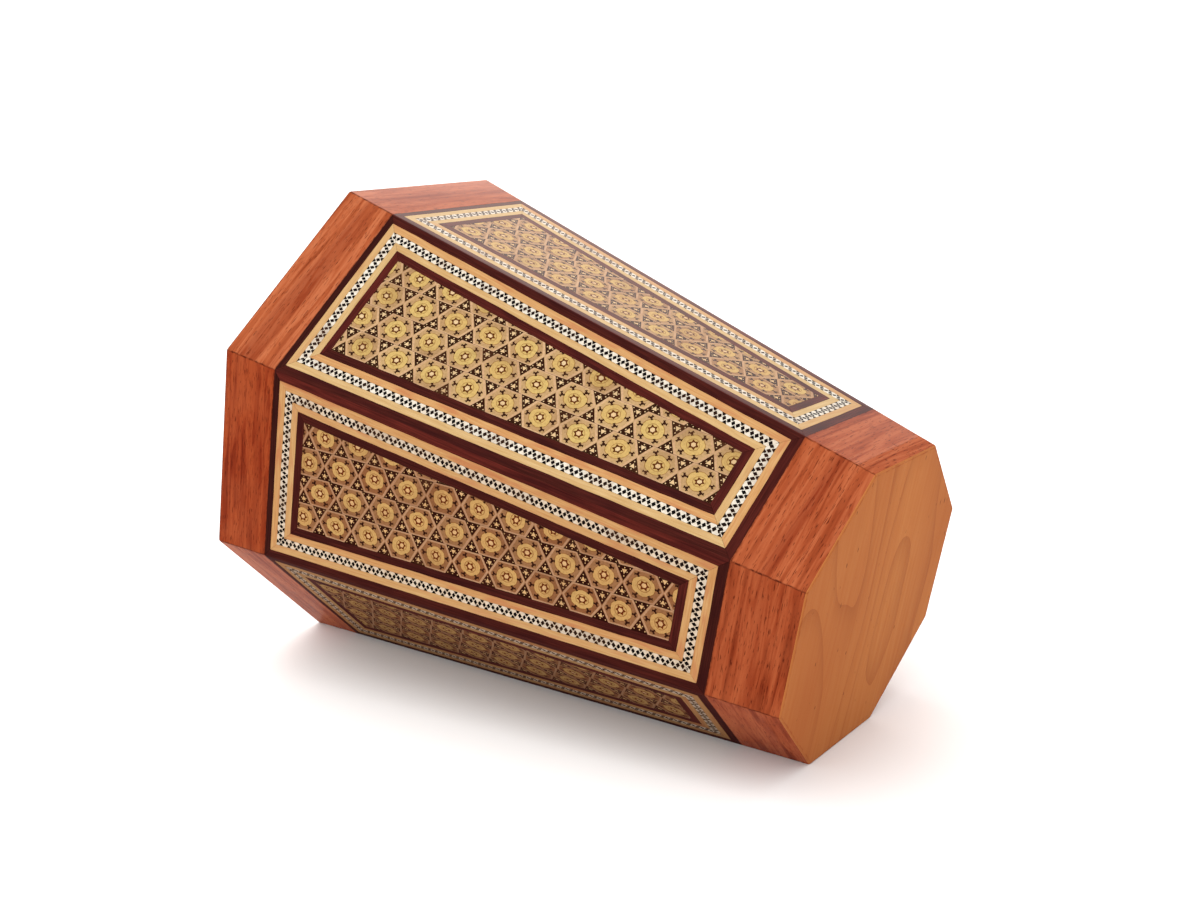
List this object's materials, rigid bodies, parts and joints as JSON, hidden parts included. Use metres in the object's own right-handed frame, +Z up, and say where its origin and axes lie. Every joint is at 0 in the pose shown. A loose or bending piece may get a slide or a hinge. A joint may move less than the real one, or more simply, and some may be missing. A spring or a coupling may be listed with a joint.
{
  "type": "inlaid wooden box",
  "caption": "Octagonal tapered wooden vessel with mosaic-inlaid sides, open at the wide end, lying on one side.",
  "frame": {"origin": "middle of the footprint, on the surface the vessel lies on", "axes": "+Z up from the side it lies on; +X along the vessel's length, from its open mouth to its closed narrow end; +Y across it. Turned by +80.07 degrees about +Y it stands on its base with its mouth up."},
  "size_m": [0.1316, 0.099, 0.0975],
  "materials": {
    "stained_beech": "satin lacquer over red-brown stain",
    "bare_beech": "satin lacquer on bare beech",
    "dark_border": "gloss lacquer on dark red wood",
    "pale_line": "gloss lacquer on pale wood",
    "bone_and_ebony": "gloss lacquer over bone and black triangles",
    "mosaic": "gloss lacquer over wood micro-mosaic",
    "felt": "matt felt"
  },
  "bodies": {
    "root": {"wall_1": "stained_beech", "wall_2": "stained_beech", "wall_3": "stained_beech", "wall_4": "stained_beech", "wall_5": "stained_beech", "wall_6": "stained_beech", "wall_7": "stained_beech", "wall_8": "stained_beech", "outer_border_1": "dark_border", "outer_border_2": "dark_border", "outer_border_3": "dark_border", "outer_border_4": "dark_border", "outer_border_5": "dark_border", "outer_border_6": "dark_border", "outer_border_7": "dark_border", "outer_border_8": "dark_border", "outer_line_1": "pale_line", "outer_line_2": "pale_line", "outer_line_3": "pale_line", "outer_line_4": "pale_line", "outer_line_5": "pale_line", "outer_line_6": "pale_line", "outer_line_7": "pale_line", "outer_line_8": "pale_line", "chain_1": "bone_and_ebony", "chain_2": "bone_and_ebony", "chain_3": "bone_and_ebony", "chain_4": "bone_and_ebony", "chain_5": "bone_and_ebony", "chain_6": "bone_and_ebony", "chain_7": "bone_and_ebony", "chain_8": "bone_and_ebony", "inner_line_1": "pale_line", "inner_line_2": "pale_line", "inner_line_3": "pale_line", "inner_line_4": "pale_line", "inner_line_5": "pale_line", "inner_line_6": "pale_line", "inner_line_7": "pale_line", "inner_line_8": "pale_line", "inner_border_1": "dark_border", "inner_border_2": "dark_border", "inner_border_3": "dark_border", "inner_border_4": "dark_border", "inner_border_5": "dark_border", "inner_border_6": "dark_border", "inner_border_7": "dark_border", "inner_border_8": "dark_border", "mosaic_1": "mosaic", "mosaic_2": "mosaic", "mosaic_3": "mosaic", "mosaic_4": "mosaic", "mosaic_5": "mosaic", "mosaic_6": "mosaic", "mosaic_7": "mosaic", "mosaic_8": "mosaic", "base_board": "bare_beech", "side_lining": "felt", "base_lining": "felt"}
  },
  "joints": []
}
